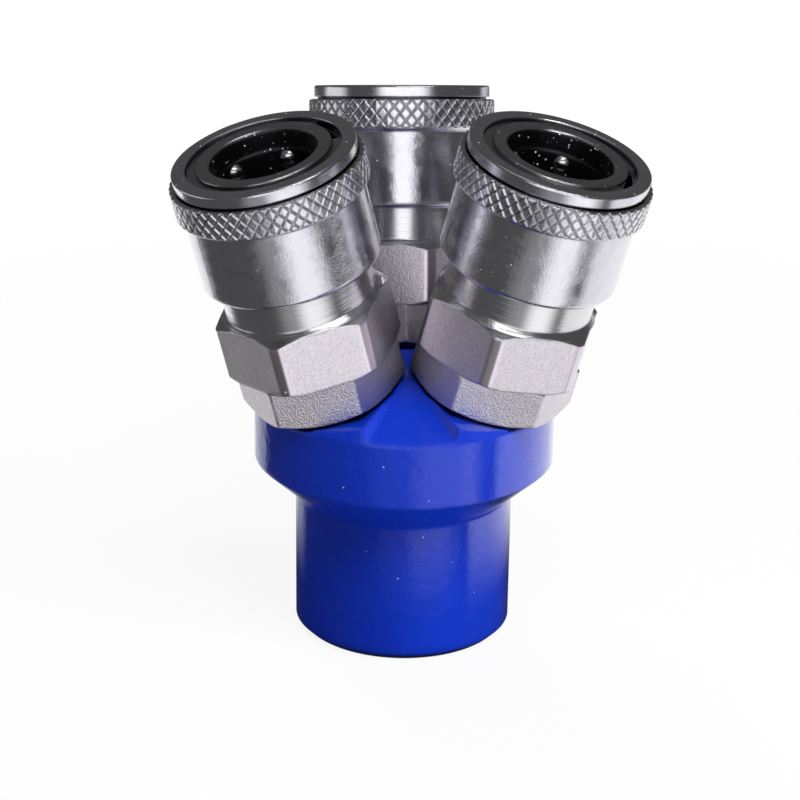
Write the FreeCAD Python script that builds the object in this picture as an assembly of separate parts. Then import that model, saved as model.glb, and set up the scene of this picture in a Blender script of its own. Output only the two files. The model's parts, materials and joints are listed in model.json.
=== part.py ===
import FreeCAD
import Part
import math
import os

# Three-way air manifold with three ball-lock coupler sockets. Millimetres, +Z up.
# The origin is the centre of the bottom face of the inlet boss.
# Couplers are drawn on their own axis with height 0 on the seat, then leaned out and turned into place.

# Manifold body, outside
boss_radius = 15.5
boss_height = 20.6
boss_edge = 0.9
boss_fillet = 0.5
head_radius = 21.4
flare_height = 4.8
flare_edge = 0.6
head_side_height = 9.8
head_edge = 0.5
shoulder_lean = 20.0
valley_start = 7.5
valley_half_width = 6.0
valley_wall_lean = 35.0
valley_fillet = 0.8

# Coupler seats on the head
coupler_tilt = 15.4
seat_offset = 13.0
seat_rise = 2.1
spot_face_margin = 1.3
spot_face_depth = 0.35

# Manifold body, inside
inlet_bore_radius = 9.32
inlet_countersink = 0.45
inlet_depth = 21.0
inlet_drill_angle = 118.0
port_end_gap = 1.0
passage_radius = 4.0
passage_run_in = 0.1

# Adapter, the lower hexagon with a threaded stub below and a spigot above
stub_radius = 6.5
stub_length = 9.5
stub_edge = 0.8
adapter_flats = 20.2
adapter_hex_height = 6.6
adapter_corner_turn = 0.1
adapter_seat_radius = 9.1
adapter_top_radius = 11.3
hex_chamfer_angle = 30.0
spigot_radius = 8.4
spigot_length = 7.6
adapter_bore_radius = 3.6
spring_pocket_radius = 5.6
spring_pocket_rise = 2.4

# Socket body, the upper hexagon with the neck and the ball cage
socket_flats = 22.0
socket_hex_height = 8.5
socket_corner_turn = 0.3
socket_hex_foot_radius = 11.5
socket_hex_shoulder = 0.7
socket_cone_height = 0.75
neck_step = 1.25
guide_step = 0.15
cage_wall = 2.3
cage_bore_radius = 7.1
mouth_radius = 7.3
bore_chamfer = 0.36
front_edge = 0.2
nose_bore_radius = 5.8
packing_groove_depth = 1.6
packing_groove_height = 1.8
valve_chamber_radius = 7.2

# Lengths along the socket body, one after another from the adapter's spigot to the front
joint_seal_height = 0.8
chamber_length = 10.0
valve_seat_wall = 1.5
packing_wall = 1.1
floor_to_balls = 3.7
balls_to_mouth = 1.6
balls_to_ring = 3.1
ring_to_front = 0.6
guide_below_balls = 3.1

# Locking balls
ball_count = 6
ball_radius = 1.5
ball_stand_proud = 0.65
ball_travel = 0.87
ball_clearance = 0.03

# Retaining ring
ring_thickness = 0.8
ring_width = 1.72
ring_groove_depth = 0.5
ring_gap_angle = 40.0

# Sliding sleeve
sleeve_length = 17.35
sleeve_travel = 3.3
sleeve_wall = 1.88
barrel_round = 1.0
knurl_height = 4.1
knurl_stand = 0.76
knurl_edge = 0.25
knurl_shoulder_height = 0.45
rim_groove_height = 0.3
rim_groove_depth = 0.24
rim_height = 1.65
rim_stand = 0.24
rim_round = 0.35
land_setback = 0.4
counterbore_edge = 0.15

# Springs, seals and valve
sleeve_spring_wire = 0.8
sleeve_spring_length = 7.0
sleeve_spring_turns = 3.4
valve_spring_wire = 0.9
valve_spring_gap = 0.75
valve_spring_turns = 6.0
wire_flats = 8
packing_squeeze = 0.3
packing_lip_depth = 0.5
valve_head_gap = 0.6
valve_head_height = 1.8
valve_seal_height = 0.8
valve_seal_gap = 0.1
crown_gap = 0.7
crown_wall = 0.9
crown_setback = 0.5
crown_rim_height = 1.5
crown_window_count = 3
crown_window_width = 3.2
valve_tail_gap = 0.75
valve_tail_length = 3.0

# Clearances
running_fit = 0.06
ring_fit = 0.08
ball_to_land = 0.03
ball_to_cam = 0.04
thread_fit = 0.05
match_tolerance = 0.001

# Heights on the manifold body, worked out from the sizes above
head_bottom = boss_height + flare_height
head_top = head_bottom + head_side_height
seat_height = head_top + seat_rise

# Heights on a coupler, above its seat
spring_pocket_floor = adapter_hex_height + spring_pocket_rise
spigot_top = adapter_hex_height + spigot_length
socket_hex_top = adapter_hex_height + socket_hex_height
chamber_floor = spigot_top + joint_seal_height
valve_seat = chamber_floor + chamber_length
packing_floor = valve_seat + valve_seat_wall
packing_top = packing_floor + packing_groove_height
bore_floor = packing_top + packing_wall
ball_plane = bore_floor + floor_to_balls
mouth_floor = ball_plane + balls_to_mouth
ring_back = ball_plane + balls_to_ring
ring_front = ring_back + ring_thickness
socket_front = ring_front + ring_to_front
guide_start = ball_plane - guide_below_balls
land_start = guide_start + land_setback
neck_top = land_start - sleeve_spring_length
valve_head_top = valve_seat - valve_seal_height
valve_head_foot = valve_head_top - valve_head_height
crown_top = bore_floor - crown_setback

# Radii on a coupler
spot_face_radius = adapter_seat_radius + spot_face_margin
guide_radius = cage_bore_radius + cage_wall
spring_core_radius = guide_radius - guide_step
neck_radius = spring_core_radius + neck_step
socket_hex_top_radius = neck_radius + socket_hex_shoulder
ring_groove_radius = guide_radius - ring_groove_depth
ring_outer_radius = ring_groove_radius + ring_width
packing_groove_radius = nose_bore_radius + packing_groove_depth
ball_centre = cage_bore_radius - ball_stand_proud + ball_radius
barrel_radius = neck_radius + running_fit + sleeve_wall
knurl_root_radius = barrel_radius + knurl_stand
rim_radius = barrel_radius + rim_stand
valve_head_radius = valve_chamber_radius - valve_head_gap
crown_radius = nose_bore_radius - crown_gap
valve_spring_radius = spring_pocket_radius - valve_spring_gap - valve_spring_wire / 2
valve_tail_radius = valve_spring_radius - valve_spring_wire / 2 - valve_tail_gap

# Name, bearing of the coupler, and how far adapter, socket and retaining ring are turned on their axis
couplers = (
    ("rear", 90.0, 1.0, 17.0, 60.0),
    ("left", 210.0, 25.1, 40.3, 175.0),
    ("right", 330.0, 28.9, 45.9, 15.0),
)
valley_bearings = (30.0, 150.0, 270.0)

axis_up = FreeCAD.Vector(0, 0, 1)
centre = FreeCAD.Vector(0, 0, 0)


def revolve(points):
    """A solid turned about Z from (radius, height) points."""
    corners = [FreeCAD.Vector(radius, 0, height) for radius, height in points]
    face = Part.Face(Part.makePolygon(corners + corners[:1]))
    return face.revolve(centre, axis_up, 360)


def disc(radius, bottom, top):
    return Part.makeCylinder(radius, top - bottom, FreeCAD.Vector(0, 0, bottom))


def tube(outer, inner, bottom, top):
    return disc(outer, bottom, top).cut(disc(inner, bottom, top))


def turned(shape, angle):
    copy = shape.copy()
    copy.rotate(centre, axis_up, angle)
    return copy


def coupler_place(bearing):
    """Where a coupler drawn on Z stands: leaned outwards, turned to its bearing, seated on the head."""
    lean = FreeCAD.Rotation(FreeCAD.Vector(0, 1, 0), coupler_tilt)
    turn = FreeCAD.Rotation(axis_up, bearing)
    angle = math.radians(bearing)
    seat = FreeCAD.Vector(seat_offset * math.cos(angle), seat_offset * math.sin(angle), seat_height)
    return FreeCAD.Placement(seat, turn.multiply(lean))


def placed(shape, bearing):
    copy = shape.copy()
    copy.Placement = coupler_place(bearing).multiply(copy.Placement)
    return copy


def hexagon(across_flats, corner_turn, bottom, top, foot_radius, top_radius):
    """A hexagon bar with its corners turned to a round, and turned off towards the two end circles."""
    corner = across_flats / 2 / math.cos(math.pi / 6)
    points = [
        FreeCAD.Vector(corner * math.cos(math.radians(60 * i)), corner * math.sin(math.radians(60 * i)), bottom)
        for i in range(7)
    ]
    bar = Part.Face(Part.makePolygon(points)).extrude(FreeCAD.Vector(0, 0, top - bottom))
    rise = math.tan(math.radians(hex_chamfer_angle))
    reach = corner - corner_turn
    outline = [
        (0, bottom),
        (foot_radius, bottom),
        (reach, bottom + (reach - foot_radius) * rise),
        (reach, top - (reach - top_radius) * rise),
        (top_radius, top),
        (0, top),
    ]
    return bar.common(revolve(outline))


def spring(mean_radius, wire, bottom, top, turns):
    """A compression spring that rests on both of its seats. Its wire has flats in place of a round section."""
    height = top - bottom - wire
    path = Part.makeHelix(height / turns, height, mean_radius)
    corner = wire / 2 / math.cos(math.pi / wire_flats)
    corners = []
    for i in range(wire_flats + 1):
        angle = math.pi * (2 * i + 1) / wire_flats
        corners.append(FreeCAD.Vector(mean_radius + corner * math.cos(angle), 0, corner * math.sin(angle)))
    coil = Part.Wire(path).makePipeShell([Part.makePolygon(corners)], True, True)
    coil.translate(FreeCAD.Vector(0, 0, bottom + wire / 2))
    return coil


def manifold_body():
    peak = seat_height + seat_offset * math.tan(math.radians(coupler_tilt)) + head_edge
    shoulder = (peak - head_top) * math.tan(math.radians(shoulder_lean))
    blank = revolve([
        (0, 0),
        (boss_radius - boss_edge, 0),
        (boss_radius, boss_edge),
        (boss_radius, boss_height),
        (head_radius - flare_edge, head_bottom),
        (head_radius, head_bottom + flare_edge),
        (head_radius, head_top),
        (head_radius - shoulder, peak),
        (0, peak),
    ])
    blank = rounded(blank, boss_radius, boss_height, boss_fillet)
    reach = 3 * head_radius
    for name, bearing, adapter_turn, socket_turn, ring_turn in couplers:
        above_facet = Part.makeBox(reach, reach, peak, FreeCAD.Vector(-reach / 2, -reach / 2, spot_face_depth))
        blank = blank.cut(placed(above_facet, bearing))
    for bearing in valley_bearings:
        blank = blank.cut(turned(valley(peak), bearing))
    port_floor = -stub_length - port_end_gap
    passage_end = (inlet_depth - seat_height) / math.cos(math.radians(coupler_tilt)) - passage_run_in
    for name, bearing, adapter_turn, socket_turn, ring_turn in couplers:
        spot_face = disc(spot_face_radius, 0, peak)
        port = disc(stub_radius + thread_fit, port_floor, 0)
        passage = disc(passage_radius, passage_end, port_floor)
        blank = blank.cut(placed(spot_face.fuse([port, passage]), bearing))
    drill_tip = inlet_bore_radius / math.tan(math.radians(inlet_drill_angle / 2))
    inlet = revolve([
        (0, 0),
        (inlet_bore_radius + inlet_countersink, 0),
        (inlet_bore_radius, inlet_countersink),
        (inlet_bore_radius, inlet_depth),
        (0, inlet_depth + drill_tip),
    ])
    return blank.cut(inlet)


def valley(peak):
    """The wedge between two facets, which widens and falls from near the top to the rim, along +X."""
    facet_fall = math.tan(math.radians(coupler_tilt)) / 2
    facet_peak = seat_height + seat_offset * math.tan(math.radians(coupler_tilt))
    facet_peak = facet_peak + spot_face_depth / math.cos(math.radians(coupler_tilt))
    start_height = facet_peak - facet_fall * valley_start
    fall = (start_height - head_top) / (head_radius - valley_start)
    spread = valley_half_width / (head_radius - valley_start)
    sections = []
    for distance in (valley_start, 2 * head_radius - valley_start):
        floor = start_height - fall * (distance - valley_start)
        half = spread * (distance - valley_start) + head_edge
        wall = (peak - floor) * math.tan(math.radians(valley_wall_lean))
        corners = [
            FreeCAD.Vector(distance, -half, floor),
            FreeCAD.Vector(distance, half, floor),
            FreeCAD.Vector(distance, half + wall, peak),
            FreeCAD.Vector(distance, -half - wall, peak),
        ]
        sections.append(Part.makePolygon(corners + corners[:1]))
    wedge = Part.makeLoft(sections, True, True)
    floor_edges = [edge for edge in wedge.Edges if edge.BoundBox.XLength > head_radius and edge.BoundBox.ZMin < head_top]
    return wedge.makeFillet(valley_fillet, floor_edges)


def adapter():
    corner_radius = adapter_flats / 2 / math.cos(math.pi / 6) - adapter_corner_turn
    hex_part = hexagon(adapter_flats, adapter_corner_turn, 0, adapter_hex_height, adapter_seat_radius,
                       min(adapter_top_radius, corner_radius))
    stem = revolve([
        (0, -stub_length),
        (stub_radius - stub_edge, -stub_length),
        (stub_radius, stub_edge - stub_length),
        (stub_radius, adapter_hex_height / 2),
        (spigot_radius, adapter_hex_height / 2),
        (spigot_radius, spigot_top),
        (0, spigot_top),
    ])
    bore = disc(adapter_bore_radius, -stub_length, spring_pocket_floor)
    pocket = disc(spring_pocket_radius, spring_pocket_floor, spigot_top)
    return hex_part.fuse(stem).cut(bore.fuse(pocket)).removeSplitter()


def socket_body():
    hex_part = hexagon(socket_flats, socket_corner_turn, adapter_hex_height, socket_hex_top,
                       socket_hex_foot_radius, socket_hex_top_radius)
    upper = revolve([
        (0, socket_hex_top),
        (socket_hex_top_radius, socket_hex_top),
        (neck_radius, socket_hex_top + socket_cone_height),
        (neck_radius, neck_top),
        (spring_core_radius, neck_top),
        (spring_core_radius, guide_start),
        (guide_radius, guide_start),
        (guide_radius, ring_back),
        (ring_groove_radius, ring_back),
        (ring_groove_radius, ring_front),
        (guide_radius, ring_front),
        (guide_radius, socket_front - front_edge),
        (guide_radius - front_edge, socket_front),
        (0, socket_front),
    ])
    hollow = revolve([
        (0, adapter_hex_height),
        (spigot_radius + thread_fit, adapter_hex_height),
        (spigot_radius + thread_fit, chamber_floor),
        (valve_chamber_radius, chamber_floor),
        (valve_chamber_radius, valve_seat),
        (nose_bore_radius, valve_seat),
        (nose_bore_radius, packing_floor),
        (packing_groove_radius, packing_floor),
        (packing_groove_radius, packing_top),
        (nose_bore_radius, packing_top),
        (nose_bore_radius, bore_floor),
        (cage_bore_radius, bore_floor),
        (cage_bore_radius, mouth_floor - mouth_radius + cage_bore_radius),
        (mouth_radius, mouth_floor),
        (mouth_radius, socket_front - bore_chamfer),
        (mouth_radius + bore_chamfer, socket_front),
        (0, socket_front),
    ])
    shape = hex_part.fuse(upper).removeSplitter().cut(hollow)
    for i in range(ball_count):
        shape = shape.cut(turned(ball_hole(), 360 / ball_count * i))
    return shape


def ball_hole():
    """A radial hole along +X that ends in a round seat, so the ball can't drop into the bore."""
    radius = ball_radius + ball_clearance
    start = FreeCAD.Vector(ball_centre, 0, ball_plane)
    hole = Part.makeCylinder(radius, guide_radius, start, FreeCAD.Vector(1, 0, 0))
    return hole.fuse(Part.makeSphere(radius, start))


def locking_ball(angle):
    ball = Part.makeSphere(ball_radius, FreeCAD.Vector(ball_centre, 0, ball_plane))
    return turned(ball, angle)


def cam_slope():
    """How much the ball moves out for each millimetre that the sleeve moves back."""
    return ball_travel / sleeve_travel


def sleeve():
    land_radius = ball_centre + ball_radius + ball_to_land
    slope = cam_slope()
    reach_of_ball = ball_radius * math.sqrt(1 + slope * slope) + ball_to_cam
    cam_start = ball_plane - (ball_centre + reach_of_ball - land_radius) / slope
    cam_end_radius = land_radius + (ring_back - cam_start) * slope
    bore = neck_radius + running_fit
    counterbore = ring_outer_radius + ring_fit
    sleeve_back = socket_front - sleeve_length
    groove_end = socket_front - rim_height
    knurl_end = groove_end - rim_groove_height
    knurl_start = knurl_end - knurl_height
    outline = [
        (bore, sleeve_back),
        (barrel_radius, sleeve_back),
        (barrel_radius, knurl_start - knurl_shoulder_height),
        (knurl_root_radius - knurl_edge, knurl_start - knurl_edge),
        (knurl_root_radius, knurl_start),
        (knurl_root_radius, knurl_end - knurl_edge),
        (knurl_root_radius - knurl_edge, knurl_end),
        (barrel_radius - rim_groove_depth, knurl_end),
        (barrel_radius - rim_groove_depth, groove_end),
        (rim_radius, groove_end),
        (rim_radius, socket_front),
        (counterbore + counterbore_edge, socket_front),
        (counterbore, socket_front - counterbore_edge),
        (counterbore, ring_back),
        (cam_end_radius, ring_back),
        (land_radius, cam_start),
        (land_radius, land_start),
        (bore, land_start),
    ]
    shape = revolve(outline)
    shape = rounded(shape, barrel_radius, sleeve_back, barrel_round)
    return rounded(shape, rim_radius, socket_front, rim_round)


def rounded(shape, radius, height, round_radius):
    """Rounds the circular edge of that radius and height."""
    edges = []
    for edge in shape.Edges:
        box = edge.BoundBox
        same_height = abs(box.ZMin - height) < match_tolerance and abs(box.ZMax - height) < match_tolerance
        if same_height and abs(box.XMax - radius) < match_tolerance:
            edges.append(edge)
    return shape.makeFillet(round_radius, edges)


def retaining_ring():
    ring = tube(ring_outer_radius, ring_groove_radius + ball_clearance, ring_back, ring_front)
    half = math.radians(ring_gap_angle / 2)
    reach = 2 * ring_outer_radius
    corners = [
        FreeCAD.Vector(0, 0, ring_back),
        FreeCAD.Vector(reach * math.cos(half), -reach * math.sin(half), ring_back),
        FreeCAD.Vector(reach * math.cos(half), reach * math.sin(half), ring_back),
    ]
    gap = Part.Face(Part.makePolygon(corners + corners[:1])).extrude(FreeCAD.Vector(0, 0, ring_thickness))
    return ring.cut(gap)


def packing():
    """The bore seal: a ring with a lip that wraps the plug's nose."""
    return revolve([
        (packing_groove_radius, packing_floor),
        (nose_bore_radius, packing_floor),
        (nose_bore_radius - packing_squeeze, (packing_floor + packing_top) / 2),
        (nose_bore_radius, packing_top),
        (nose_bore_radius + packing_lip_depth, packing_top - packing_lip_depth),
        (packing_groove_radius - packing_lip_depth, packing_top - packing_lip_depth),
        (packing_groove_radius, packing_top),
    ])


def joint_seal():
    return tube(spigot_radius, valve_chamber_radius, spigot_top, chamber_floor)


def valve():
    """A poppet: a head below the seat, a crown with windows that the plug pushes, and a tail in the spring."""
    head = disc(valve_head_radius, valve_head_foot, valve_head_top)
    tail = disc(valve_tail_radius, valve_head_foot - valve_tail_length, valve_head_foot)
    crown = tube(crown_radius, crown_radius - crown_wall, valve_head_top, crown_top)
    window_foot = valve_head_top + crown_wall
    window_height = crown_top - crown_rim_height - window_foot
    for i in range(crown_window_count):
        window = Part.makeBox(
            crown_radius * 2,
            crown_window_width,
            window_height,
            FreeCAD.Vector(0, -crown_window_width / 2, window_foot),
        )
        crown = crown.cut(turned(window, 360 / crown_window_count * i))
    return head.fuse([tail, crown]).removeSplitter()


def valve_seal():
    return tube(valve_head_radius, crown_radius + valve_seal_gap, valve_head_top, valve_seat)


def sleeve_spring():
    mean_radius = (spring_core_radius + neck_radius) / 2
    return spring(mean_radius, sleeve_spring_wire, neck_top, land_start, sleeve_spring_turns)


def valve_spring():
    return spring(valve_spring_radius, valve_spring_wire, spring_pocket_floor, valve_head_foot, valve_spring_turns)


def write(shape, node):
    if not shape.isValid():
        raise ValueError(node + " is not a valid solid")
    solids = shape.Solids
    if len(solids) != 1:
        raise ValueError(node + " has " + str(len(solids)) + " solids")
    solids[0].exportStep("parts/" + node + ".step")
    print(node, round(solids[0].Volume, 1), "mm3")


def main():
    os.makedirs("parts", exist_ok=True)
    write(manifold_body(), "manifold_body")
    plain_pieces = (
        ("adapter", adapter(), "adapter_turn"),
        ("socket_body", socket_body(), "socket_turn"),
        ("sleeve", sleeve(), None),
        ("retaining_ring", retaining_ring(), "ring_turn"),
        ("sleeve_spring", sleeve_spring(), None),
        ("packing", packing(), None),
        ("joint_seal", joint_seal(), None),
        ("valve", valve(), "socket_turn"),
        ("valve_seal", valve_seal(), None),
        ("valve_spring", valve_spring(), None),
    )
    for side, bearing, adapter_turn, socket_turn, ring_turn in couplers:
        turns = {"adapter_turn": adapter_turn, "socket_turn": socket_turn, "ring_turn": ring_turn, None: 0}
        for piece, shape, turn in plain_pieces:
            write(placed(turned(shape, turns[turn]), bearing), side + "_" + piece)
        for i in range(ball_count):
            ball = locking_ball(socket_turn + 360 / ball_count * i)
            write(placed(ball, bearing), side + "_ball_" + str(i + 1))


main()
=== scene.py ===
import json
import math
import bpy
from mathutils import Matrix, Quaternion, Vector


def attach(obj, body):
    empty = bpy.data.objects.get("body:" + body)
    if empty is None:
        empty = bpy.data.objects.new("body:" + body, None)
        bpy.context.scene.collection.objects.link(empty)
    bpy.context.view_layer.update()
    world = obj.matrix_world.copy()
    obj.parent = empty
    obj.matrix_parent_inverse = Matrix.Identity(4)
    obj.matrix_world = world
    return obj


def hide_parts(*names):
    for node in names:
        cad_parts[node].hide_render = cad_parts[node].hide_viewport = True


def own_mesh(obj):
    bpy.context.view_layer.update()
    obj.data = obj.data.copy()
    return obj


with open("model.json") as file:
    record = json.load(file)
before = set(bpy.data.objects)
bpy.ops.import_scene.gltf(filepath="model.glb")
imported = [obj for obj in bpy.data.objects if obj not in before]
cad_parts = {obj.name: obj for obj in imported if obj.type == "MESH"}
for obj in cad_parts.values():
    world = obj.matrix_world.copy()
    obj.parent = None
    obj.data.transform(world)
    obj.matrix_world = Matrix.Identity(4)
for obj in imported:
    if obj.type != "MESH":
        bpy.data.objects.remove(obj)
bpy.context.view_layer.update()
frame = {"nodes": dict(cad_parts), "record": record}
print("frame loaded with", len(frame["nodes"]), "nodes")

mm = 0.001
sides = ("rear", "left", "right")
recordMounts = {mount["name"]: mount for mount in frame["record"]["mounts"]}

# Heights and radii on a coupler, measured from its seat along its own axis, as in the solids
coupler = {
    "mountHeight": 36.0 * mm,
    "adapterHexTop": 6.6 * mm,
    "socketHexTop": 15.1 * mm,
    "coneRadius": 11.2 * mm,
    "coneSlope": 0.577,
    "boreEdge": 7.42 * mm,
    "socketCorner": 12.36 * mm,
    "front": 37.6 * mm,
}


def couplerPlace(side):
    mouth = recordMounts[side + "_socket"]
    axis = Vector(mouth["axis"]).normalized()
    seat = Vector(mouth["pos_m"]) - axis * coupler["mountHeight"]
    across = Vector((0, 0, 1)).cross(axis).normalized()
    outward = across.cross(axis)
    place = Matrix((outward, across, axis)).transposed().to_4x4()
    place.translation = seat
    return place


couplerPlaces = {side: couplerPlace(side) for side in sides}


# Node helpers

def addNode(tree, kind, inputs=None, **settings):
    node = tree.nodes.new(kind)
    for name, value in settings.items():
        setattr(node, name, value)
    for name, value in (inputs or {}).items():
        if isinstance(value, bpy.types.NodeSocket):
            tree.links.new(value, node.inputs[name])
        else:
            node.inputs[name].default_value = value
    return node


def calc(tree, operation, first, second=0.0):
    return addNode(tree, "ShaderNodeMath", {0: first, 1: second}, operation=operation).outputs[0]


def times(tree, first, second):
    return calc(tree, "MULTIPLY", first, second)


def oneMinus(tree, value):
    return calc(tree, "SUBTRACT", 1.0, value)


def fade(tree, value, start, end):
    node = addNode(tree, "ShaderNodeMapRange", {"Value": value, "From Min": start, "From Max": end},
                   interpolation_type="SMOOTHSTEP")
    return node.outputs["Result"]


def blendColour(tree, mask, first, second):
    node = addNode(tree, "ShaderNodeMix", data_type="RGBA")
    colourInputs = [socket for socket in node.inputs if socket.type == "RGBA"]
    for socket, value in ((node.inputs[0], mask), (colourInputs[0], first), (colourInputs[1], second)):
        if isinstance(value, bpy.types.NodeSocket):
            tree.links.new(value, socket)
        else:
            socket.default_value = value
    return [socket for socket in node.outputs if socket.type == "RGBA"][0]


def blendValue(tree, mask, first, second):
    return addNode(tree, "ShaderNodeMix", {0: mask, 2: first, 3: second}, data_type="FLOAT").outputs[0]


def mixShaders(tree, mask, first, second):
    return addNode(tree, "ShaderNodeMixShader", {0: mask, 1: first, 2: second}).outputs[0]


def newGroup(name, ins, outs):
    group = bpy.data.node_groups.new(name, "ShaderNodeTree")
    for socketName in ins:
        kind = "NodeSocketVector" if socketName == "Vector" else "NodeSocketFloat"
        group.interface.new_socket(socketName, in_out="INPUT", socket_type=kind)
    for socketName in outs:
        group.interface.new_socket(socketName, in_out="OUTPUT", socket_type="NodeSocketFloat")
    return group, group.nodes.new("NodeGroupInput").outputs, group.nodes.new("NodeGroupOutput").inputs


def placeGroup(tree, group, inputs):
    return addNode(tree, "ShaderNodeGroup", inputs, node_tree=group).outputs


# Effects that several finishes share

effects = {
    "grainDetail": 3.0,
    "grainRoughness": 0.6,
    "grainMiddle": 0.5,
    "mottleScale": 0.13,  # against the scale of the grain
    "mottleDetail": 2.0,
    "latheDetail": 3.0,
    "latheRoughness": 0.7,
    "dustSmallest": 0.3,  # against the size that is asked for
    "dustCore": 0.6,
    # Painted shade: surfaces with little open sky around them are coloured darker between these two shares
    "creviceClosed": 0.22,  # share of open sky at which a crevice is fully dark
    "creviceOpen": 0.80,
    "shadingSamples": 6,
}


def makeAboutAxis():
    group, given, result = newGroup("aboutAxis", ["Vector"], ["Height", "Radius"])
    parts = addNode(group, "ShaderNodeSeparateXYZ", {0: given["Vector"]}).outputs
    flat = addNode(group, "ShaderNodeCombineXYZ", {0: parts[0], 1: parts[1]}).outputs[0]
    length = addNode(group, "ShaderNodeVectorMath", {0: flat}, operation="LENGTH").outputs["Value"]
    group.links.new(parts[2], result["Height"])
    group.links.new(length, result["Radius"])
    return group


def makeGrain():
    group, given, result = newGroup("grain", ["Vector", "Size", "Sharpness"], ["Height", "Mottle"])
    scale = calc(group, "DIVIDE", 1.0, given["Size"])
    fine = addNode(group, "ShaderNodeTexNoise",
                   {"Vector": given["Vector"], "Scale": scale, "Detail": effects["grainDetail"],
                    "Roughness": effects["grainRoughness"]}).outputs[0]
    coarse = addNode(group, "ShaderNodeTexNoise",
                     {"Vector": given["Vector"], "Scale": times(group, scale, effects["mottleScale"]),
                      "Detail": effects["mottleDetail"]}).outputs[0]
    low = calc(group, "SUBTRACT", effects["grainMiddle"], given["Sharpness"])
    high = calc(group, "ADD", effects["grainMiddle"], given["Sharpness"])
    height = addNode(group, "ShaderNodeMapRange", {"Value": fine, "From Min": low, "From Max": high})
    group.links.new(height.outputs["Result"], result["Height"])
    group.links.new(coarse, result["Mottle"])
    return group


def makeLatheLines():
    group, given, result = newGroup("latheLines", ["Along", "Pitch"], ["Height"])
    lines = addNode(group, "ShaderNodeTexNoise",
                    {"W": calc(group, "DIVIDE", given["Along"], given["Pitch"]), "Scale": 1.0,
                     "Detail": effects["latheDetail"], "Roughness": effects["latheRoughness"]},
                    noise_dimensions="1D")
    group.links.new(lines.outputs[0], result["Height"])
    return group


def makeDust():
    group, given, result = newGroup("dust", ["Vector", "Spacing", "Share", "Size"], ["Mask"])
    scale = calc(group, "DIVIDE", 1.0, given["Spacing"])
    cells = addNode(group, "ShaderNodeTexVoronoi", {"Vector": given["Vector"], "Scale": scale}).outputs
    parts = addNode(group, "ShaderNodeSeparateColor", {0: cells["Color"]}).outputs
    chosen = calc(group, "LESS_THAN", parts[0], given["Share"])
    reach = times(group, given["Size"], calc(group, "ADD", parts[1], effects["dustSmallest"]))
    core = times(group, reach, effects["dustCore"])
    spot = oneMinus(group, fade(group, cells["Distance"], core, reach))
    group.links.new(times(group, chosen, spot), result["Mask"])
    return group


# Painted shade: a mask that rises where ambient occlusion finds little open sky, used to colour gaps,
# corners and recesses darker
def makePaintedShade():
    group, given, result = newGroup("crevice", ["Reach"], ["Mask"])
    sky = addNode(group, "ShaderNodeAmbientOcclusion", {"Distance": given["Reach"]},
                  samples=effects["shadingSamples"]).outputs["AO"]
    opened = fade(group, sky, effects["creviceClosed"], effects["creviceOpen"])
    group.links.new(oneMinus(group, opened), result["Mask"])
    return group


aboutAxis = makeAboutAxis()
grain = makeGrain()
latheLines = makeLatheLines()
dust = makeDust()
crevice = makePaintedShade()


def newMaterial(name):
    material = bpy.data.materials.new(name)
    material.use_nodes = True
    tree = material.node_tree
    tree.nodes.clear()
    output = tree.nodes.new("ShaderNodeOutputMaterial")
    shader = tree.nodes.new("ShaderNodeBsdfPrincipled")
    tree.links.new(shader.outputs["BSDF"], output.inputs["Surface"])
    return material, tree, shader


def surfaceSocket(tree):
    return [node for node in tree.nodes if node.type == "OUTPUT_MATERIAL"][0].inputs["Surface"]


def objectCoordinates(tree, place=None):
    coordinates = addNode(tree, "ShaderNodeTexCoord").outputs["Object"]
    if place is None:
        return coordinates
    mapping = addNode(tree, "ShaderNodeMapping", {"Vector": coordinates}, vector_type="TEXTURE")
    mapping.inputs["Location"].default_value = place.translation
    mapping.inputs["Rotation"].default_value = place.to_euler()
    return mapping.outputs["Vector"]


def roundedNormal(tree, radius):
    bevel = addNode(tree, "ShaderNodeBevel", {"Radius": radius}, samples=effects["shadingSamples"])
    return bevel.outputs["Normal"]


def bump(tree, height, distance, normal=None):
    inputs = {"Height": height, "Distance": distance}
    if normal is not None:
        inputs["Normal"] = normal
    return addNode(tree, "ShaderNodeBump", inputs).outputs["Normal"]


def grainOn(tree, place, size, sharpness):
    return placeGroup(tree, grain, {"Vector": place, "Size": size, "Sharpness": sharpness})


def dustOn(tree, place, values):
    return placeGroup(tree, dust, {"Vector": place, "Spacing": values["spacing"], "Share": values["share"],
                                   "Size": values["size"]})["Mask"]


def paintedShadeOn(tree, reach):
    return placeGroup(tree, crevice, {"Reach": reach})["Mask"]


# Blue enamel on the manifold body

enamel = {
    "colour": (0.006, 0.040, 0.53, 1),
    "deepColour": (0.004, 0.024, 0.40, 1),
    "dustColour": (0.35, 0.42, 0.75, 1),
    "bareMetal": (0.50, 0.48, 0.44, 1),
    # Painted shade: the near-black blue given to the paint where little open sky is found within the reach
    "paintedShadeColour": (0.001, 0.006, 0.10, 1),
    "paintedShadeReach": 4.5 * mm,
    "roughness": 0.09,
    "bareRoughness": 0.35,
    "specular": 0.42,
    "coatRoughness": 0.05,
    "coatRefraction": 1.60,
    # The paint lies thicker, glossier and more uneven on the side that faces positive X
    "thickStart": 6.0 * mm,
    "thickEnd": 9.5 * mm,
    "thickWaves": 1.5,
    "edgeRadius": 0.90 * mm,
    "waveSize": 2.2 * mm,
    "waveSharpness": 0.5,
    "waveDepth": 0.090 * mm,
    # The size of a speck is against the spacing
    "dust": {"spacing": 1.9 * mm, "share": 0.35, "size": 0.07},
    "dustDepth": 0.04 * mm,
    "inletRadius": 9.9 * mm,
    "inletTop": 27.0 * mm,
    "threadPitch": 1.81 * mm,
    "threadDepth": 0.6 * mm,
}


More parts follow.
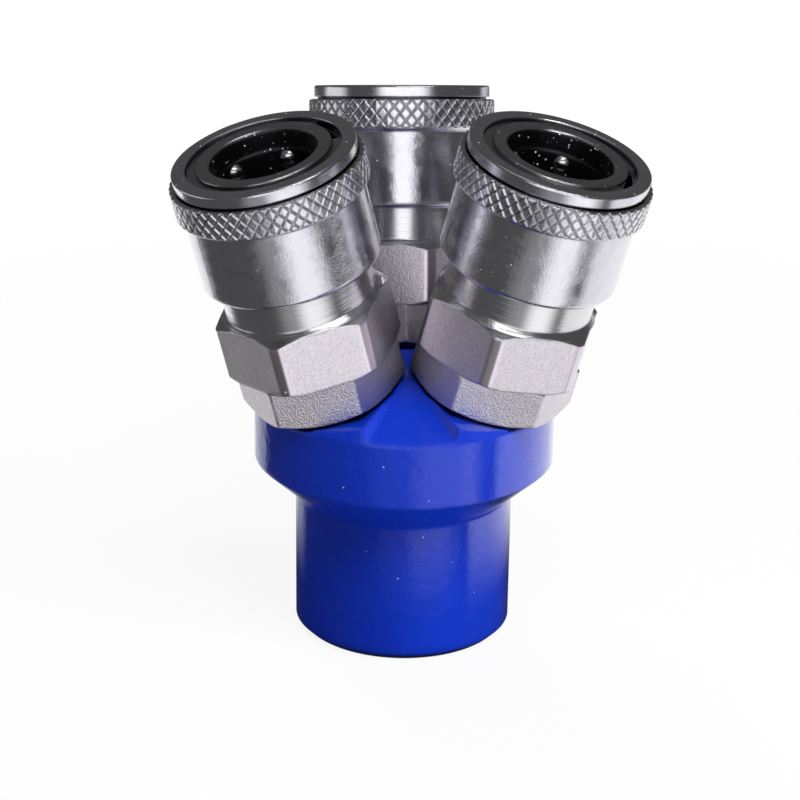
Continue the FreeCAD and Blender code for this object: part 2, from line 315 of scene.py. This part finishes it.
def makeEnamel():
    material, tree, shader = newMaterial("blueEnamel")
    place = objectCoordinates(tree)
    about = placeGroup(tree, aboutAxis, {"Vector": place})
    waves = grainOn(tree, place, enamel["waveSize"], enamel["waveSharpness"])
    specks = dustOn(tree, place, enamel["dust"])
    inside = times(tree, calc(tree, "LESS_THAN", about["Radius"], enamel["inletRadius"]),
                   calc(tree, "LESS_THAN", about["Height"], enamel["inletTop"]))
    paint = blendColour(tree, waves["Mottle"], enamel["deepColour"], enamel["colour"])
    dusty = blendColour(tree, specks, paint, enamel["dustColour"])
    # Painted shade: the paint is coloured near black in gaps, corners and hollows
    shaded = blendColour(tree, paintedShadeOn(tree, enamel["paintedShadeReach"]), dusty, enamel["paintedShadeColour"])
    tree.links.new(blendColour(tree, inside, shaded, enamel["bareMetal"]), shader.inputs["Base Color"])
    tree.links.new(inside, shader.inputs["Metallic"])
    tree.links.new(blendValue(tree, inside, enamel["roughness"], enamel["bareRoughness"]),
                   shader.inputs["Roughness"])
    shader.inputs["Specular IOR Level"].default_value = enamel["specular"]
    shader.inputs["Coat Roughness"].default_value = enamel["coatRoughness"]
    shader.inputs["Coat IOR"].default_value = enamel["coatRefraction"]
    sideways = addNode(tree, "ShaderNodeSeparateXYZ", {0: place}).outputs[0]
    thick = fade(tree, sideways, enamel["thickStart"], enamel["thickEnd"])
    tree.links.new(times(tree, thick, oneMinus(tree, inside)), shader.inputs["Coat Weight"])
    peel = times(tree, waves["Height"], blendValue(tree, thick, 1.0, enamel["thickWaves"]))
    ripples = bump(tree, peel, enamel["waveDepth"], roundedNormal(tree, enamel["edgeRadius"]))
    bumps = bump(tree, specks, enamel["dustDepth"], ripples)
    # The thread rises over half a pitch and falls over the other half
    turn = calc(tree, "PINGPONG", calc(tree, "DIVIDE", about["Height"], enamel["threadPitch"]), 0.5)
    thread = bump(tree, times(tree, turn, inside), enamel["threadDepth"], bumps)
    tree.links.new(thread, shader.inputs["Normal"])
    return material


# Satin nickel on the two hexagons of each coupler, bright where they were turned on the lathe

nickel = {
    "colour": (1.00, 0.97, 1.00, 1),
    "darkColour": (0.95, 0.91, 0.97, 1),
    "pitColour": (0.70, 0.63, 0.72, 1),
    "turnedColour": (0.72, 0.71, 0.74, 1),
    "faceColour": (0.46, 0.46, 0.48, 1),
    "cornerColour": (0.75, 0.68, 0.77, 1),
    # Painted shade: the bore is coloured near black for the shade that lies inside it
    "boreShadeColour": (0.050, 0.050, 0.056, 1),
    "dustColour": (0.90, 0.90, 0.93, 1),
    # Painted shade in gaps and corners: its colour, how far the occlusion looks, and how strong it is on
    # each coupler
    "paintedShadeColour": (0.045, 0.045, 0.050, 1),
    "paintedShadeReach": 9.0 * mm,
    "paintedShadeShare": {"rear": 0.25, "left": 1.0, "right": 0.35},
    "blastedRoughness": 0.29,
    "turnedRoughness": 0.20,
    "boreRoughness": 0.42,
    "edgeRadius": 0.42 * mm,
    "grainSize": 0.27 * mm,
    "grainSharpness": 0.22,
    "grainDepth": 0.040 * mm,
    "adapterGrain": 2.2,
    "lathePitch": 0.42 * mm,
    "latheDepth": 0.030 * mm,
    # Where one finish ends: below the top of the cone, and at the corners of the upper hexagon
    "turnedFrom": -0.08 * mm,
    "turnedTo": -0.02 * mm,
    "cornerFrom": -0.25 * mm,
    "cornerTo": 0.02 * mm,
    "faceDepth": 0.3 * mm,
    "boreDust": {"spacing": 0.60 * mm, "share": 0.60, "size": 0.20},
    "faceDust": 0.3,
    "flatDust": {"spacing": 1.0 * mm, "share": 0.45, "size": 0.14},
}


def makeNickel(side):
    material, tree, shader = newMaterial("nickel" + side.capitalize())
    place = objectCoordinates(tree, couplerPlaces[side])
    about = placeGroup(tree, aboutAxis, {"Vector": place})
    height = about["Height"]
    radius = about["Radius"]
    blasting = grainOn(tree, place, nickel["grainSize"], nickel["grainSharpness"])
    lines = placeGroup(tree, latheLines, {"Along": height, "Pitch": nickel["lathePitch"]})["Height"]
    rings = placeGroup(tree, latheLines, {"Along": radius, "Pitch": nickel["lathePitch"]})["Height"]
    # Everything above the cone that tops the upper hexagon was turned on the lathe
    slope = times(tree, calc(tree, "SUBTRACT", radius, coupler["coneRadius"]), coupler["coneSlope"])
    overCone = calc(tree, "ADD", height, calc(tree, "MAXIMUM", slope, 0.0))
    above = fade(tree, overCone, coupler["socketHexTop"] + nickel["turnedFrom"],
                 coupler["socketHexTop"] + nickel["turnedTo"])
    atFace = calc(tree, "GREATER_THAN", height, coupler["front"] - nickel["faceDepth"])
    inBore = times(tree, calc(tree, "LESS_THAN", radius, coupler["boreEdge"]), above)
    # The corners of the upper hexagon are turned smooth, the flats of both are blasted
    onAdapter = calc(tree, "LESS_THAN", height, coupler["adapterHexTop"])
    corner = fade(tree, radius, coupler["socketCorner"] + nickel["cornerFrom"],
                  coupler["socketCorner"] + nickel["cornerTo"])
    cloudy = blendColour(tree, blasting["Mottle"], nickel["darkColour"], nickel["colour"])
    speckled = blendColour(tree, blasting["Height"], nickel["pitColour"], cloudy)
    worn = blendColour(tree, corner, speckled, nickel["cornerColour"])
    bright = blendColour(tree, atFace, nickel["turnedColour"], nickel["faceColour"])
    finished = blendColour(tree, above, worn, bright)
    # Painted shade: the metal is coloured near black where little open sky is found, strongest on the left
    # coupler
    shade = times(tree, paintedShadeOn(tree, nickel["paintedShadeReach"]), nickel["paintedShadeShare"][side])
    shaded = blendColour(tree, shade, finished, nickel["paintedShadeColour"])
    # Painted shade: inside the bore the metal is coloured near black
    plain = blendColour(tree, inBore, shaded, nickel["boreShadeColour"])
    # Bright specks lie in the bore and on the flats, and fainter ones on the face
    specked = calc(tree, "MAXIMUM", inBore, times(tree, atFace, nickel["faceDust"]))
    dusty = calc(tree, "MAXIMUM", times(tree, dustOn(tree, place, nickel["boreDust"]), specked),
                 times(tree, dustOn(tree, place, nickel["flatDust"]), oneMinus(tree, above)))
    tree.links.new(blendColour(tree, dusty, plain, nickel["dustColour"]), shader.inputs["Base Color"])
    tree.links.new(oneMinus(tree, dusty), shader.inputs["Metallic"])
    rough = blendValue(tree, above, nickel["blastedRoughness"], nickel["turnedRoughness"])
    tree.links.new(blendValue(tree, inBore, rough, nickel["boreRoughness"]), shader.inputs["Roughness"])
    flats = oneMinus(tree, calc(tree, "MAXIMUM", above, corner))
    coarse = times(tree, flats, blendValue(tree, onAdapter, 1.0, nickel["adapterGrain"]))
    blasted = bump(tree, times(tree, blasting["Height"], coarse), nickel["grainDepth"],
                   roundedNormal(tree, nickel["edgeRadius"]))
    latheHeight = times(tree, calc(tree, "ADD", lines, rings), above)
    tree.links.new(bump(tree, latheHeight, nickel["latheDepth"], blasted), shader.inputs["Normal"])
    return material


# Bright nickel plate on the sliding sleeves

plate = {
    "colour": (0.78, 0.77, 0.83, 1),
    "cloudColour": (0.62, 0.61, 0.67, 1),
    "dustColour": (0.80, 0.80, 0.84, 1),
    # Painted shade: the near-black colour given where little open sky is found within the reach
    "paintedShadeColour": (0.05, 0.05, 0.055, 1),
    "paintedShadeReach": 6.0 * mm,
    "roughness": 0.13,
    "roughnessRise": 0.08,
    "edgeRadius": 0.25 * mm,
    "speckSize": 0.26 * mm,
    "speckSharpness": 0.25,
    "speckDepth": 0.018 * mm,
    "patchStart": 0.38,
    "patchEnd": 0.56,
    "rimStart": 35.75 * mm,
    "rimEnd": 36.15 * mm,
    "rimCalm": 0.75,
    "lathePitch": 0.22 * mm,
    "latheDepth": 0.007 * mm,
    "dust": {"spacing": 1.0 * mm, "share": 0.40, "size": 0.10},
}


def makePlate(side):
    material, tree, shader = newMaterial("brightPlate" + side.capitalize())
    place = objectCoordinates(tree, couplerPlaces[side])
    height = placeGroup(tree, aboutAxis, {"Vector": place})["Height"]
    marks = grainOn(tree, place, plate["speckSize"], plate["speckSharpness"])
    specks = dustOn(tree, place, plate["dust"])
    lines = placeGroup(tree, latheLines, {"Along": height, "Pitch": plate["lathePitch"]})["Height"]
    cloudy = blendColour(tree, marks["Mottle"], plate["cloudColour"], plate["colour"])
    # Painted shade: the plate is coloured near black in gaps and hollows
    shaded = blendColour(tree, paintedShadeOn(tree, plate["paintedShadeReach"]), cloudy, plate["paintedShadeColour"])
    tree.links.new(blendColour(tree, specks, shaded, plate["dustColour"]), shader.inputs["Base Color"])
    tree.links.new(oneMinus(tree, specks), shader.inputs["Metallic"])
    roughest = plate["roughness"] + plate["roughnessRise"]
    rough = blendValue(tree, marks["Height"], plate["roughness"], roughest)
    tree.links.new(rough, shader.inputs["Roughness"])
    # The plating is more uneven in some patches than in others, and calm on the rim
    patches = fade(tree, marks["Mottle"], plate["patchStart"], plate["patchEnd"])
    atRim = fade(tree, height, plate["rimStart"], plate["rimEnd"])
    uneven = times(tree, patches, oneMinus(tree, times(tree, atRim, plate["rimCalm"])))
    marked = bump(tree, times(tree, marks["Height"], uneven), plate["speckDepth"],
                  roundedNormal(tree, plate["edgeRadius"]))
    tree.links.new(bump(tree, lines, plate["latheDepth"], marked), shader.inputs["Normal"])
    return material


# Small parts of steel and rubber

steels = {
    "ballSteel": {"colour": (0.86, 0.86, 0.88), "roughness": 0.20, "grainSize": 0.5 * mm,
                  "grainDepth": 0.002 * mm},
    "springSteel": {"colour": (0.45, 0.45, 0.46), "roughness": 0.28, "grainSize": 0.3 * mm,
                    "grainDepth": 0.006 * mm},
    "valveSteel": {"colour": (0.16, 0.16, 0.17), "roughness": 0.30, "grainSize": 0.3 * mm,
                   "grainDepth": 0.006 * mm},
}
steelUnevenness = {
    "darkest": 0.75,
    "roughnessRise": 0.06,
    "sharpness": 0.3,
}
rubber = {
    "colour": (0.028, 0.028, 0.030, 1),
    "darkColour": (0.012, 0.012, 0.013, 1),
    "roughness": 0.55,
    "grainSize": 0.3 * mm,
    "grainSharpness": 0.3,
    "grainDepth": 0.01 * mm,
}


def makeSteel(name):
    values = steels[name]
    material, tree, shader = newMaterial(name)
    marks = grainOn(tree, objectCoordinates(tree), values["grainSize"], steelUnevenness["sharpness"])
    light = (*values["colour"], 1)
    dark = (*[part * steelUnevenness["darkest"] for part in values["colour"]], 1)
    tree.links.new(blendColour(tree, marks["Mottle"], dark, light), shader.inputs["Base Color"])
    shader.inputs["Metallic"].default_value = 1.0
    roughest = values["roughness"] + steelUnevenness["roughnessRise"]
    rough = blendValue(tree, marks["Height"], values["roughness"], roughest)
    tree.links.new(rough, shader.inputs["Roughness"])
    tree.links.new(bump(tree, marks["Height"], values["grainDepth"]), shader.inputs["Normal"])
    return material


def makeRubber():
    material, tree, shader = newMaterial("blackRubber")
    marks = grainOn(tree, objectCoordinates(tree), rubber["grainSize"], rubber["grainSharpness"])
    tree.links.new(blendColour(tree, marks["Mottle"], rubber["darkColour"], rubber["colour"]),
                   shader.inputs["Base Color"])
    shader.inputs["Roughness"].default_value = rubber["roughness"]
    tree.links.new(bump(tree, marks["Height"], rubber["grainDepth"]), shader.inputs["Normal"])
    return material


enamelMaterial = makeEnamel()
rubberMaterial = makeRubber()
steelMaterials = {name: makeSteel(name) for name in steels}
nickelMaterials = {side: makeNickel(side) for side in sides}
plateMaterials = {side: makePlate(side) for side in sides}


def finishOf(node):
    side = node.split("_")[0]
    if node == "manifold_body":
        return enamelMaterial
    if node.endswith(("_packing", "_seal")):
        return rubberMaterial
    if node.endswith(("_spring", "_ring")):
        return steelMaterials["springSteel"]
    if "_ball_" in node:
        return steelMaterials["ballSteel"]
    if node.endswith("_valve"):
        return steelMaterials["valveSteel"]
    if node.endswith("_sleeve"):
        return plateMaterials[side]
    return nickelMaterials[side]


for nodeName, nodeObject in frame["nodes"].items():
    nodeObject.material_slots[0].material = finishOf(nodeName)
print("finishes made and given to the solids")


# The knurled band of a sleeve: crossed grooves that leave diamonds

knurl = {
    "columns": 50,
    "rowHeight": 2.007 * mm,
    "rows": 4,
    "rootRadius": 13.21 * mm,
    "crestRise": 0.22 * mm,
    "grooveHalf": 0.19 * mm,
    "bottom": 31.55 * mm,
    "top": 35.65 * mm,
    "endChamfer": 0.20 * mm,
    "wall": 0.45 * mm,
    "selectMargin": 0.01 * mm,
}


def selectOnly(thing):
    bpy.ops.object.select_all(action="DESELECT")
    thing.select_set(True)
    bpy.context.view_layer.objects.active = thing


def selectEdges(thing, wanted):
    bpy.ops.mesh.select_mode(type="EDGE")
    bpy.ops.mesh.select_all(action="DESELECT")
    bpy.ops.object.mode_set(mode="OBJECT")
    for edge in thing.data.edges:
        edge.select = wanted(edge)
    bpy.ops.object.mode_set(mode="EDIT")


def selectOpenEdges():
    bpy.ops.mesh.select_mode(type="EDGE")
    bpy.ops.mesh.select_all(action="DESELECT")
    bpy.ops.mesh.select_non_manifold(extend=False)


def scaleFlat(share):
    bpy.ops.transform.resize(value=(share, share, 1), center_override=(0, 0, 0))


def finishMesh():
    bpy.ops.mesh.select_all(action="SELECT")
    bpy.ops.mesh.normals_make_consistent(inside=False)
    bpy.ops.object.mode_set(mode="OBJECT")


def makeKnurl():
    rows = knurl["rows"]
    step = knurl["rowHeight"]
    first = (knurl["bottom"] + knurl["top"] - step * rows) / 2
    bpy.ops.mesh.primitive_cylinder_add(vertices=knurl["columns"], radius=knurl["rootRadius"], depth=step,
                                        end_fill_type="NOTHING", location=(0, 0, first + step / 2))
    band = bpy.context.object
    selectOnly(band)
    bpy.ops.object.transform_apply(location=True, rotation=True, scale=True)
    bpy.ops.object.mode_set(mode="EDIT")
    corners = band.data.vertices
    for row in range(1, rows):
        limit = first + step * row - knurl["selectMargin"]
        selectEdges(band, lambda edge: all(corners[i].co.z > limit for i in edge.vertices))
        bpy.ops.mesh.extrude_region_move(TRANSFORM_OT_translate={"value": (0, 0, step)})
        bpy.ops.object.mode_set(mode="OBJECT")
        corners = band.data.vertices
        bpy.ops.object.mode_set(mode="EDIT")
    # Poking the squares and dissolving their old edges leaves diamonds
    cornerCount = knurl["columns"] * (rows + 1)
    bpy.ops.mesh.select_all(action="SELECT")
    bpy.ops.mesh.poke()
    selectEdges(band, lambda edge: all(i < cornerCount for i in edge.vertices))
    bpy.ops.mesh.dissolve_edges(use_verts=False)
    bpy.ops.mesh.select_all(action="SELECT")
    bpy.ops.mesh.inset(thickness=knurl["grooveHalf"], depth=knurl["crestRise"], use_individual=True)
    chamfer = knurl["endChamfer"]
    cuts = ((knurl["bottom"] + chamfer, None), (knurl["top"] - chamfer, None),
            (knurl["bottom"], True), (knurl["top"], False))
    for height, keepAbove in cuts:
        bpy.ops.mesh.select_all(action="SELECT")
        bpy.ops.mesh.bisect(plane_co=(0, 0, height), plane_no=(0, 0, 1), clear_inner=keepAbove is True,
                            clear_outer=keepAbove is False)
    # Both ends are chamfered, then closed inwards and joined by an inner wall
    selectOpenEdges()
    scaleFlat(1 - chamfer / knurl["rootRadius"])
    bpy.ops.mesh.extrude_region_move()
    scaleFlat(1 - knurl["wall"] / knurl["rootRadius"])
    bpy.ops.mesh.bridge_edge_loops()
    finishMesh()
    return band


def fitKnurl(side):
    band = knurlBand.copy()
    band.data = knurlBand.data.copy()
    band.name = side + "_knurl"
    bpy.context.scene.collection.objects.link(band)
    band.data.transform(couplerPlaces[side])
    band.data.materials.append(plateMaterials[side])
    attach(band, side + "_sleeve")


knurlBand = makeKnurl()
print("knurl made:", len(knurlBand.data.polygons), "faces")
for side in sides:
    fitKnurl(side)
bpy.data.objects.remove(knurlBand)


# Springs of round wire, wound as fixed coils about each coupler's axis

springs = {
    "sleeve_spring": {"joint": "sleeve_slide", "radius": 9.875 * mm, "wire": 0.80 * mm, "bottom": 23.4 * mm,
                      "top": 30.4 * mm, "turns": 3.4},
    "valve_spring": {"joint": "valve_slide", "radius": 4.40 * mm, "wire": 0.90 * mm, "bottom": 9.0 * mm,
                     "top": 22.4 * mm, "turns": 6.0},
}
coilMesh = {
    "wireCorners": 16,
    "stepsPerTurn": 48,
}


def makeSpring(side, name):
    values = springs[name]
    bpy.ops.object.select_all(action="DESELECT")
    bpy.ops.mesh.primitive_circle_add(vertices=coilMesh["wireCorners"], radius=values["wire"] / 2,
                                      rotation=(math.pi / 2, 0, 0),
                                      location=(values["radius"], 0, values["bottom"] + values["wire"] / 2))
    coil = bpy.context.object
    coil.name = side + "_" + name + "_coil"
    bpy.ops.object.transform_apply(location=True, rotation=True, scale=True)
    winding = coil.modifiers.new("winding", "SCREW")
    winding.axis = "Z"
    winding.angle = math.tau * values["turns"]
    winding.screw_offset = values["top"] - values["bottom"] - values["wire"]
    winding.steps = winding.render_steps = round(coilMesh["stepsPerTurn"] * values["turns"])
    winding.use_smooth_shade = True
    bpy.ops.object.modifier_apply(modifier="winding")
    bpy.ops.object.mode_set(mode="EDIT")
    selectOpenEdges()
    bpy.ops.mesh.fill()
    finishMesh()
    place = couplerPlaces[side]
    coil.data.transform(place)
    coil.data.materials.append(steelMaterials["springSteel"])
    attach(coil, "root")
    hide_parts(side + "_" + name)
    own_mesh(coil)


for side in sides:
    for springName in springs:
        makeSpring(side, springName)
print("knurls and springs fitted")


# Room, floor, lamps and camera. A bearing is in degrees from the front towards positive X

room = {
    "white": (1, 1, 1, 1),
    "fill": (0.075, 0.085, 0.10, 1),
    "dark": 0.085,
    # Bright fields that the metal mirrors: angles in degrees, and how light each field is
    "fields": (
        {"bearing": 28.0, "half": 24.0, "low": -75.0, "high": -14.0, "soft": 15.0, "light": 1.25},
        {"bearing": -8.0, "half": 20.0, "low": -75.0, "high": -14.0, "soft": 16.0, "light": 0.32},
        {"bearing": 0.0, "half": 33.0, "low": -10.0, "high": 28.0, "soft": 9.0, "light": 1.45},
        {"bearing": 166.0, "half": 60.0, "low": -80.0, "high": -16.0, "soft": 5.0, "light": 1.08},
        {"bearing": 98.0, "half": 26.0, "low": -80.0, "high": -16.0, "soft": 6.0, "light": 1.00},
        {"bearing": -101.0, "half": 20.0, "low": -13.0, "high": 6.0, "soft": 8.0, "light": 0.95},
        {"bearing": 141.0, "half": 15.0, "low": -13.0, "high": -4.0, "soft": 6.0, "light": 0.85},
        {"bearing": 0.0, "half": 200.0, "low": 68.0, "high": 100.0, "soft": 10.0, "light": 0.40},
    ),
    "fieldEdge": 4.0,
}


def addField(tree, bearing, lift, field):
    edge = room["fieldEdge"]
    turn = calc(tree, "COSINE", calc(tree, "SUBTRACT", bearing, math.radians(field["bearing"])))
    away = calc(tree, "DEGREES", calc(tree, "ARCCOSINE", turn))
    across = oneMinus(tree, fade(tree, away, field["half"] - field["soft"], field["half"] + field["soft"]))
    below = oneMinus(tree, fade(tree, lift, field["high"] - edge, field["high"] + edge))
    above = fade(tree, lift, field["low"] - edge, field["low"] + edge)
    return times(tree, times(tree, across, times(tree, below, above)), field["light"])


def makeWorld():
    world = bpy.data.worlds.new("studio")
    bpy.context.scene.world = world
    world.use_nodes = True
    world.cycles.sampling_method = "NONE"
    tree = world.node_tree
    tree.nodes.clear()
    direction = addNode(tree, "ShaderNodeTexCoord").outputs["Generated"]
    parts = addNode(tree, "ShaderNodeSeparateXYZ", {0: direction}).outputs
    bearing = calc(tree, "ARCTAN2", parts[0], times(tree, parts[1], -1.0))
    lift = calc(tree, "DEGREES", calc(tree, "ARCSINE", parts[2]))
    light = room["dark"]
    for field in room["fields"]:
        light = calc(tree, "MAXIMUM", light, addField(tree, bearing, lift, field))
    path = addNode(tree, "ShaderNodeLightPath").outputs
    mirrored = addNode(tree, "ShaderNodeBackground", {"Color": room["white"], "Strength": light}).outputs[0]
    fill = addNode(tree, "ShaderNodeBackground", {"Color": room["fill"]}).outputs[0]
    white = addNode(tree, "ShaderNodeBackground", {"Color": room["white"]}).outputs[0]
    lit = mixShaders(tree, path["Is Glossy Ray"], fill, mirrored)
    seen = calc(tree, "MAXIMUM", path["Is Camera Ray"], path["Is Transmission Ray"])
    output = addNode(tree, "ShaderNodeOutputWorld")
    tree.links.new(mixShaders(tree, seen, lit, white), output.inputs["Surface"])


floorLook = {
    "size": 6.0,
    "drop": 0.05 * mm,
    "colour": (0.55, 0.55, 0.55, 1),
    "roughness": 0.9,
    "glowColour": (1, 1, 1, 1),
    "glow": 1.05,
    # Near the object the shadow shows, far from it the floor is plain white
    "nearGlowShare": 0.86,
    "farGlowShare": 1.0,
    "farStart": 120.0 * mm,
    "farEnd": 350.0 * mm,
}


def makeFloor():
    bpy.ops.mesh.primitive_plane_add(size=floorLook["size"], location=(0, 0, -floorLook["drop"]))
    floor = bpy.context.object
    floor.name = "floor"
    material, tree, shader = newMaterial("paleFloor")
    shader.inputs["Base Color"].default_value = floorLook["colour"]
    shader.inputs["Roughness"].default_value = floorLook["roughness"]
    glow = addNode(tree, "ShaderNodeEmission",
                   {"Color": floorLook["glowColour"], "Strength": floorLook["glow"]}).outputs[0]
    radius = placeGroup(tree, aboutAxis, {"Vector": objectCoordinates(tree)})["Radius"]
    far = fade(tree, radius, floorLook["farStart"], floorLook["farEnd"])
    glowShare = blendValue(tree, far, floorLook["nearGlowShare"], floorLook["farGlowShare"])
    seen = times(tree, addNode(tree, "ShaderNodeLightPath").outputs["Is Camera Ray"], glowShare)
    tree.links.new(mixShaders(tree, seen, shader.outputs[0], glow), surfaceSocket(tree))
    floor.data.materials.append(material)
    floor.visible_glossy = False


# The object's own shadow on the floor, as the metal mirrors it
mirroredShadow = {
    "corners": 64,
    "drop": 0.2 * mm,
    "core": 24.0 * mm,
    "edge": 60.0 * mm,
    "colour": (0.03, 0.03, 0.035, 1),
}


def makeMirroredShadow():
    bpy.ops.mesh.primitive_circle_add(vertices=mirroredShadow["corners"], radius=mirroredShadow["edge"],
                                      fill_type="NGON", location=(0, 0, -mirroredShadow["drop"]))
    shadow = bpy.context.object
    shadow.name = "mirroredShadow"
    material, tree, shader = newMaterial("mirroredShadow")
    radius = placeGroup(tree, aboutAxis, {"Vector": objectCoordinates(tree)})["Radius"]
    clear = addNode(tree, "ShaderNodeBsdfTransparent").outputs[0]
    dark = addNode(tree, "ShaderNodeEmission", {"Color": mirroredShadow["colour"]}).outputs[0]
    outside = fade(tree, radius, mirroredShadow["core"], mirroredShadow["edge"])
    tree.links.new(mixShaders(tree, outside, dark, clear), surfaceSocket(tree))
    tree.nodes.remove(shader)
    shadow.data.materials.append(material)
    shadow.visible_camera = False
    shadow.visible_diffuse = False
    shadow.visible_transmission = False
    shadow.visible_shadow = False


lamps = {
    "front": {"bearing": 22.0, "lift": 60.0, "distance": 0.55, "width": 0.26, "depth": 0.26, "power": 2.7,
              "mirrored": False, "lights": True},
    "shine": {"bearing": 22.0, "lift": 56.0, "distance": 0.55, "width": 0.40, "depth": 0.05, "power": 0.45,
              "mirrored": True, "lights": False},
    "right": {"bearing": 58.0, "lift": 12.0, "distance": 0.55, "width": 0.30, "depth": 0.30, "power": 2.1,
              "mirrored": False, "lights": True},
    "back": {"bearing": 200.0, "lift": 35.0, "distance": 0.60, "width": 0.35, "depth": 0.35, "power": 1.9,
             "mirrored": False, "lights": True},
}
lampTarget = (0, 0, 35 * mm)


def towards(bearing, lift):
    turn = math.radians(bearing)
    rise = math.radians(lift)
    return Vector((math.sin(turn) * math.cos(rise), -math.cos(turn) * math.cos(rise), math.sin(rise)))


def makeLamp(name):
    values = lamps[name]
    light = bpy.data.lights.new(name + "Lamp", "AREA")
    light.energy = values["power"]
    light.shape = "RECTANGLE"
    light.size = values["width"]
    light.size_y = values["depth"]
    lamp = bpy.data.objects.new(name + "Lamp", light)
    bpy.context.scene.collection.objects.link(lamp)
    direction = towards(values["bearing"], values["lift"])
    lamp.location = Vector(lampTarget) + direction * values["distance"]
    lamp.rotation_euler = direction.to_track_quat("Z", "Y").to_euler()
    lamp.visible_glossy = values["mirrored"]
    lamp.visible_diffuse = values["lights"]


cameraLook = {
    "target": (-0.33 * mm, 0.015 * mm, 33.64 * mm),
    "distance": 388.25 * mm,
    "bearing": -2.60,
    "lift": 21.56,
    "roll": 0.79,
    "lens": 122.7,
    "sensor": 36.0,
    "shiftX": -0.0031,
}


def makeCamera():
    camera = bpy.data.objects.new("camera", bpy.data.cameras.new("camera"))
    bpy.context.scene.collection.objects.link(camera)
    direction = towards(cameraLook["bearing"], cameraLook["lift"])
    camera.location = Vector(cameraLook["target"]) + direction * cameraLook["distance"]
    roll = Quaternion((0, 0, 1), math.radians(cameraLook["roll"]))
    camera.rotation_mode = "QUATERNION"
    camera.rotation_quaternion = direction.to_track_quat("Z", "Y") @ roll
    camera.data.sensor_width = cameraLook["sensor"]
    camera.data.lens = cameraLook["lens"]
    camera.data.shift_x = cameraLook["shiftX"]
    bpy.context.scene.camera = camera


makeWorld()
makeFloor()
makeMirroredShadow()
for lampName in lamps:
    makeLamp(lampName)
makeCamera()
bpy.context.scene.view_settings.view_transform = "Standard"
print("stage, lamps and camera placed")
